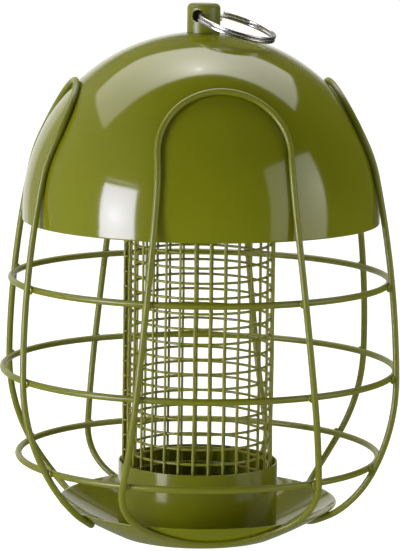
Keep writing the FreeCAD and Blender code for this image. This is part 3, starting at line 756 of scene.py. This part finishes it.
class FEEDER_OT_mesh_tube(Operator):
    """Weaves the mesh tube: uprights, hoops inside them and a weld at each crossing"""
    bl_idname = "feeder.mesh_tube"
    bl_label = "Mesh tube"

    def execute(self, context):
        size = sizes()
        floor = 2 * size.sheet
        lowest, step = hoop_places()
        mesh = grown_mesh("nut_mesh", self.make_tree(), {
            "Uprights": size.uprights, "Hoops": size.hoops, "Radius": size.tube_radius,
            "Hoop Radius": size.tube_radius - size.mesh_wire * HOOP_INSET,
            "Foot": (0, 0, floor), "Top": (0, 0, floor + size.tube_height),
            "First Hoop": lowest, "Hoop Step": step,
            "Wire Radius": size.mesh_wire / 2, "Weld Radius": size.mesh_weld,
            "Turn": (0, 0, size.seam_turn), "Dip": (size.hoop_tilt, 0, 0),
            "Wave": size.mesh_wave, "Finish": material("olive_enamel_on_mesh")})
        add_piece("nut_mesh", mesh, None, "base", "mesh_paint",
                  "tube_uprights", "lower_hoops", "upper_hoops")
        return {"FINISHED"}

    def make_tree(self):
        """Uprights in a round row, hoops up the tube, welds on the crossings, all a little bent."""
        tree, given = new_tree("welded_mesh_tube", [
            ("Uprights", "Int"), ("Hoops", "Int"), ("Radius", "Float"), ("Hoop Radius", "Float"),
            ("Foot", "Vector"), ("Top", "Vector"), ("First Hoop", "Vector"),
            ("Hoop Step", "Vector"), ("Wire Radius", "Float"), ("Weld Radius", "Float"),
            ("Turn", "Vector"), ("Dip", "Vector"), ("Wave", "Float"), ("Finish", "Material")])
        rod = first(tree, "GeometryNodeCurvePrimitiveLine", {
            "Start": given["Foot"], "End": given["Top"]})
        rod_points = first(tree, "GeometryNodeResampleCurve", {
            "Curve": rod, "Count": UPRIGHT_POINTS})
        rod_wire = wire_along(tree, rod_points, given["Wire Radius"], True)
        rods = copies(tree, self.round_row(tree, given, given["Radius"]), rod_wire)
        column = column_of(tree, given["Hoops"], given["First Hoop"], given["Hoop Step"])
        hoop = first(tree, "GeometryNodeCurvePrimitiveCircle", {
            "Resolution": HOOP_POINTS, "Radius": given["Hoop Radius"]})
        hoop_wire = wire_along(tree, hoop, given["Wire Radius"], False)
        hoops = copies(tree, column, hoop_wire, Rotation=given["Dip"])
        both = calculate(tree, "ADD", given["Radius"], given["Hoop Radius"])
        weld_row = self.round_row(tree, given, calculate(tree, "MULTIPLY", both, 0.5))
        weld_rows = copies(tree, column, weld_row, Rotation=given["Dip"])
        drop = first(tree, "GeometryNodeMeshIcoSphere", {
            "Radius": given["Weld Radius"], "Subdivisions": MESH_WELD_FINENESS})
        welds = copies(tree, realized(tree, weld_rows), drop)
        whole = first(tree, "GeometryNodeJoinGeometry", {"Geometry": [rods, hoops, welds]})
        drift = put(tree, "ShaderNodeTexNoise", {
            "Scale": 1 / (STRAY_PATCH_MM * MM), "Detail": STRAY_DETAIL}).outputs["Color"]
        centred = first(tree, "ShaderNodeVectorMath", {0: drift, 1: (0.5, 0.5, 0.5)},
                        operation="SUBTRACT")
        share = first(tree, "ShaderNodeVectorMath", {0: centred, 1: STRAY_REACH},
                      operation="MULTIPLY")
        stray = first(tree, "ShaderNodeVectorMath", {0: share, "Scale": given["Wave"]},
                      operation="SCALE")
        bent = first(tree, "GeometryNodeSetPosition", {
            "Geometry": realized(tree, whole), "Offset": stray})
        finish_tree(tree, bent, given["Finish"])
        return tree

    def round_row(self, tree, given, radius):
        """A point for each upright, round the axis from the seam on."""
        row = first(tree, "GeometryNodeMeshCircle", {
            "Vertices": given["Uprights"], "Radius": radius})
        return first(tree, "GeometryNodeTransform", {"Geometry": row, "Rotation": given["Turn"]})


class FEEDER_OT_seam(Operator):
    """Folds the strip that closes the mesh, with the ends of the hoops pressed over it"""
    bl_idname = "feeder.seam"
    bl_label = "Mesh seam"

    def execute(self, context):
        size = sizes()
        strip = cad_mesh("seam_strip", "tube_seam", CUT_SHARP, SEAM_EDGE)
        add_piece("seam_strip", strip, "olive_enamel_on_mesh", "base", "mesh_paint", "tube_seam")
        outside = size.tube_radius + size.mesh_wire / 2 + size.seam_thickness
        inner, span = size.tube_radius - END_INSET, size.seam_width * END_SPAN
        lowest, step = hoop_places()
        mesh = grown_mesh("hoop_ends", self.make_tree(), {
            "Count": size.hoops, "First": lowest, "Step": step,
            "Half Span": (inner, -span, -END_SLANT), "Other Half Span": (inner, span, END_SLANT),
            "Bow": (2 * outside - inner - END_PRESS, 0, 0),
            "Wire Radius": size.mesh_wire * END_WIRE, "Turn": (0, 0, size.seam_turn),
            "Finish": material("olive_enamel_on_mesh")})
        add_piece("hoop_ends", mesh, None, "base", "mesh_paint")
        return {"FINISHED"}

    def make_tree(self):
        """A short bowed wire at the height of each hoop, over the seam."""
        tree, given = new_tree("hoop_ends", [
            ("Count", "Int"), ("First", "Vector"), ("Step", "Vector"), ("Half Span", "Vector"),
            ("Other Half Span", "Vector"), ("Bow", "Vector"), ("Wire Radius", "Float"),
            ("Turn", "Vector"), ("Finish", "Material")])
        column = column_of(tree, given["Count"], given["First"], given["Step"])
        end = first(tree, "GeometryNodeCurveQuadraticBezier", {
            "Resolution": HOOP_END_POINTS, "Start": given["Half Span"], "Middle": given["Bow"],
            "End": given["Other Half Span"]})
        ends = copies(tree, column, wire_along(tree, end, given["Wire Radius"], True))
        turned = first(tree, "GeometryNodeTransform", {
            "Geometry": realized(tree, ends), "Rotation": given["Turn"]})
        finish_tree(tree, turned, given["Finish"])
        return tree


# Stage: the photograph's camera, in metres, and lamps placed round it

CAMERA_TURN = math.radians(-8.0)
CAMERA_TILT = math.radians(8.32)
CAMERA_ROLL = math.radians(0.76)
CAMERA_DISTANCE = 1.5728
CAMERA_AIM = Vector((-0.00018, 0.0, 0.12995))
CAMERA_CLIP = (0.05, 50.0)
FOCAL_PIXELS = 3153.0
IMAGE_HEIGHT = 551
SENSOR = 36.0

# Each lamp: its corners as (right, away, up) from the feeder's foot as the camera sees it, its
# colour, its brightness at the edge and where it is brightest, where white paper is 1, the place
# where it is brightest, and the distance over which it dims from there.
LAMPS = {
    "overhead_softbox": dict(
        corners=((-1.27, 0.0, 1.2), (-0.82, 0.02, 1.2), (-0.29, 0.11, 1.2), (0.1, 0.2, 1.2),
                 (0.97, 0.24, 1.2), (0.93, 0.5, 1.2), (0.75, 1.07, 1.2), (0.3, 0.94, 1.2),
                 (-0.2, 0.92, 1.2), (-0.5, 1.04, 1.2), (-1.06, 0.96, 1.2)),
        tint=(1.0, 0.97, 0.95), edge=2.3, most=8.6, spot=(-0.05, 0.27, 1.2), spread=0.28),
    "softbox_bulb": dict(
        corners=((-0.055, 0.25, 1.19), (-0.005, 0.255, 1.19),
                 (-0.01, 0.29, 1.19), (-0.05, 0.285, 1.19)),
        tint=(1.0, 0.97, 0.95), edge=9.0, most=16.0, spot=(-0.03, 0.265, 1.19), spread=0.03),
    "left_strip": dict(
        corners=((-0.987, -0.463, -0.01), (-0.729, -0.844, -0.01),
                 (-0.729, -0.844, 0.49), (-0.987, -0.463, 0.49)),
        tint=(0.82, 0.8, 1.0), edge=14.0, most=23.0, spot=(-0.874, -0.629, 0.17), spread=0.17),
    "left_strip_foot": dict(
        corners=((-0.953, -0.55, -0.2), (-0.772, -0.783, -0.2),
                 (-0.772, -0.783, -0.01), (-0.953, -0.55, -0.01)),
        tint=(1.0, 0.97, 0.9), edge=4.2, most=5.0, spot=(-0.86, -0.67, -0.12), spread=0.1),
    "left_strip_frame": dict(
        corners=((-0.987, -0.463, 0.535), (-0.729, -0.844, 0.535),
                 (-0.729, -0.844, 0.55), (-0.987, -0.463, 0.55)),
        tint=(0.82, 0.8, 1.0), edge=5.0, most=6.0, spot=(-0.87, -0.64, 0.54), spread=0.4),
    "right_panel": dict(
        corners=((1.172, -0.117, -0.01), (0.828, -0.883, -0.01),
                 (0.828, -0.883, 0.84), (1.172, -0.117, 0.84)),
        tint=(1.0, 0.98, 0.92), edge=0.8, most=3.7, spot=(1.15, -0.16, 0.42), spread=0.5),
    "right_panel_foot": dict(
        corners=((1.09, 0.25, -0.2), (0.92, -0.62, -0.2),
                 (0.92, -0.62, -0.01), (1.09, 0.25, -0.01)),
        tint=(1.0, 0.98, 0.9), edge=0.45, most=0.7, spot=(1.0, -0.2, -0.12), spread=0.3),
    "high_fill": dict(
        corners=((-1.4, 0.9, 0.66), (1.1, 0.9, 0.66), (1.1, 0.9, 1.16), (-1.4, 0.9, 1.16)),
        tint=(1.0, 0.93, 0.8), edge=7.0, most=7.0, spot=(0.0, 0.9, 0.9), spread=1.0),
}

# The lamp that is kept out of the reflections: it only lifts the paint's own colour, from above
# and behind.
UNSEEN_LAMP = "high_fill"

# The white paper behind the feeder: how far away it stands, its foot, its brightness and tint, and
# for its top and sides the place where it ends and the place where it is at full strength.
PAPER_AWAY, PAPER_FOOT, PAPER_LEVEL, PAPER_TINT = 0.95, -0.3, 1.0, (1.0, 0.99, 0.97)
PAPER_TOP, PAPER_LEFT, PAPER_RIGHT = (0.62, 0.42), (-0.85, -0.62), (0.45, 0.1)

# The floor: half its width, the share of the lamps' light that it sends back, which sets how deep
# the feeder's shadow is, its roughness, and its own brightness.
FLOOR_REACH, FLOOR_SHARE, FLOOR_ROUGHNESS, FLOOR_LEVEL = 6.0, 0.12, 0.9, 1.03

# The room round the stage: its level, and for each dim wall the way to it as (right, away, up), how
# far towards that way it begins and is full, from 0 to 1, and its level.
ROOM_LEVEL = 0.03
SIDE_WALL = ((-1.0, 0.0, 0.0), 0.2, 0.9, 0.3)
BACK_WALL = ((-0.35, 0.94, 0.0), 0.5, 0.9, 0.16)


def from_camera_side(place):
    """A place given as (right, away, up) from the camera's side, in the row frame."""
    return Matrix.Rotation(CAMERA_TURN, 3, "Z") @ Vector(place)


def fade(tree, place, axis, start, full, height):
    """A level that rises softly from nothing to a height along an axis."""
    along = put(tree, "ShaderNodeVectorMath", {0: place, 1: axis}, operation="DOT_PRODUCT")
    return first(tree, "ShaderNodeMapRange", {
        "Value": along.outputs["Value"], "From Min": start, "From Max": full,
        "To Min": 0.0, "To Max": height}, interpolation_type="SMOOTHSTEP")


def stage_sheet(name, corners, finish):
    """A flat face for the stage and the empty material on it, as (sheet, material)."""
    mesh = bpy.data.meshes.new(name)
    mesh.from_pydata(corners, [], [tuple(range(len(corners)))])
    surface = new_material(finish)
    mesh.materials.append(surface)
    return link(name, mesh), surface


class FEEDER_OT_stage(Operator):
    """Sets the camera where the photograph was taken from, with a pale floor and soft lamps"""
    bl_idname = "feeder.stage"
    bl_label = "Stage"

    def execute(self, context):
        scene = context.scene
        scene.view_settings.view_transform = "Standard"
        scene.camera = self.make_camera()
        scene.world = self.make_world()
        self.make_floor()
        self.make_paper()
        for name, lamp in LAMPS.items():
            self.make_lamp(name, **lamp)
        return {"FINISHED"}

    def make_camera(self):
        """The photograph's camera, a little above the feeder and turned and rolled a little."""
        data = bpy.data.cameras.new("photo_camera")
        data.sensor_fit = "AUTO"
        data.sensor_width = SENSOR
        data.lens = SENSOR * FOCAL_PIXELS / IMAGE_HEIGHT
        data.clip_start, data.clip_end = CAMERA_CLIP
        camera = link("photo_camera", data)
        back = Vector((0, -math.cos(CAMERA_TILT), math.sin(CAMERA_TILT)))
        above = Vector((0, math.sin(CAMERA_TILT), math.cos(CAMERA_TILT)))
        right = Vector((1, 0, 0))
        across = math.cos(CAMERA_ROLL) * right + math.sin(CAMERA_ROLL) * above
        upward = math.cos(CAMERA_ROLL) * above - math.sin(CAMERA_ROLL) * right
        place = Matrix.Translation(CAMERA_AIM + back * CAMERA_DISTANCE)
        axes = Matrix((across, upward, back)).transposed().to_4x4()
        camera.matrix_world = Matrix.Rotation(CAMERA_TURN, 4, "Z") @ place @ axes
        return camera

    def make_floor(self):
        """A pale floor that glows evenly, so that only a soft shadow shows on it."""
        reach = FLOOR_REACH
        corners = [(-reach, -reach, 0), (reach, -reach, 0), (reach, reach, 0), (-reach, reach, 0)]
        floor, surface = stage_sheet("studio_floor", corners, "pale_floor")
        sent_back = tuple(level * FLOOR_SHARE for level in colours().floor)
        shader = put(surface.node_tree, "ShaderNodeBsdfPrincipled", {
            "Base Color": (*sent_back, 1.0), "Roughness": FLOOR_ROUGHNESS,
            "Specular IOR Level": 0.0, "Emission Color": (*colours().floor, 1.0),
            "Emission Strength": FLOOR_LEVEL})
        finish_material(surface, shader)
        floor.visible_glossy = False

    def make_paper(self):
        """White paper that stands behind the feeder and fades out at its edges."""
        left, right, top = PAPER_LEFT[0], PAPER_RIGHT[0], PAPER_TOP[0]
        outline = ((left, PAPER_FOOT), (right, PAPER_FOOT), (right, top), (left, top))
        corners = [from_camera_side((across, PAPER_AWAY, up)) for across, up in outline]
        paper, surface = stage_sheet("backdrop_paper", corners, "lit_white_paper")
        tree = surface.node_tree
        here = put(tree, "ShaderNodeTexCoord").outputs["Object"]
        to_right, down = from_camera_side((1.0, 0.0, 0.0)), Vector((0.0, 0.0, -1.0))
        from_left = fade(tree, here, to_right, *PAPER_LEFT, 1.0)
        from_right = fade(tree, here, -to_right, -PAPER_RIGHT[0], -PAPER_RIGHT[1], 1.0)
        below_top = fade(tree, here, down, -PAPER_TOP[0], -PAPER_TOP[1], 1.0)
        width = calculate(tree, "MULTIPLY", from_left, from_right)
        share = calculate(tree, "MULTIPLY", width, below_top)
        clear = first(tree, "ShaderNodeBsdfTransparent")
        glow = first(tree, "ShaderNodeEmission", {
            "Color": (*PAPER_TINT, 1.0), "Strength": PAPER_LEVEL})
        finish_material(surface, put(tree, "ShaderNodeMixShader", {0: share, 1: clear, 2: glow}))
        paper.visible_camera = False

    def make_world(self):
        """A dim wall to the feeder's left and one behind it, a dark room elsewhere, and a white
        background for the camera alone."""
        world = bpy.data.worlds.new("white_studio")
        world.use_nodes = True
        tree = world.node_tree
        tree.nodes.clear()
        way = put(tree, "ShaderNodeTexCoord").outputs["Generated"]
        level = ROOM_LEVEL
        for direction, *reach in (SIDE_WALL, BACK_WALL):
            wall = fade(tree, way, from_camera_side(direction), *reach)
            level = calculate(tree, "ADD", level, wall)
        sight = put(tree, "ShaderNodeLightPath").outputs["Is Camera Ray"]
        light = first(tree, "ShaderNodeBackground", {
            "Color": (1.0, 1.0, 1.0, 1.0), "Strength": calculate(tree, "MAXIMUM", level, sight)})
        put(tree, "ShaderNodeOutputWorld", {"Surface": light})
        return world

    def make_lamp(self, name, corners, tint, edge, most, spot, spread):
        """A flat diffuser that glows most in one place and dims away from it."""
        places = [from_camera_side(corner) for corner in corners]
        lamp, surface = stage_sheet(name, places, name + "_diffuser")
        tree = surface.node_tree
        here = put(tree, "ShaderNodeTexCoord").outputs["Object"]
        far = put(tree, "ShaderNodeVectorMath", {0: here, 1: from_camera_side(spot)},
                  operation="DISTANCE").outputs["Value"]
        share = calculate(tree, "EXPONENT", calculate(tree, "MULTIPLY", far, -1 / spread))
        level = calculate(tree, "MULTIPLY_ADD", share, most - edge, edge)
        finish_material(surface, put(tree, "ShaderNodeEmission", {
            "Color": (*tint, 1.0), "Strength": level}))
        lamp.visible_camera = False
        lamp.visible_glossy = name != UNSEEN_LAMP


OPERATORS = (FEEDER_OT_roof, FEEDER_OT_stalk, FEEDER_OT_split_ring, FEEDER_OT_cage,
             FEEDER_OT_welds, FEEDER_OT_tray, FEEDER_OT_mesh_tube, FEEDER_OT_seam, FEEDER_OT_stage)


class FEEDER_PT_panel(Panel):
    """Lists the feeder's pieces, sizes and colours"""
    bl_idname = "FEEDER_PT_panel"
    bl_label = "Acorn Feeder"
    bl_space_type = "VIEW_3D"
    bl_region_type = "UI"
    bl_category = "Feeder"

    def draw(self, context):
        layout = self.layout
        for operator in OPERATORS:
            layout.operator(operator.bl_idname)
        for group in (context.scene.feeder_sizes, context.scene.feeder_colours):
            box = layout.box()
            for name in group.bl_rna.properties.keys():
                if name not in ("rna_type", "name"):
                    box.prop(group, name)


CLASSES = (FeederSizes, FeederColours) + OPERATORS + (FEEDER_PT_panel,)


def register():
    for item in CLASSES:
        bpy.utils.register_class(item)
    bpy.types.Scene.feeder_sizes = PointerProperty(type=FeederSizes)
    bpy.types.Scene.feeder_colours = PointerProperty(type=FeederColours)


def unregister():
    del bpy.types.Scene.feeder_colours
    del bpy.types.Scene.feeder_sizes
    for item in reversed(CLASSES):
        bpy.utils.unregister_class(item)


def main():
    register()
    bpy.ops.feeder.roof()
    bpy.ops.feeder.stalk()
    bpy.ops.feeder.split_ring()
    bpy.ops.feeder.cage()
    bpy.ops.feeder.welds()
    bpy.ops.feeder.tray()
    bpy.ops.feeder.mesh_tube()
    bpy.ops.feeder.seam()
    bpy.ops.feeder.stage()


if __name__ == "__main__":
    main()
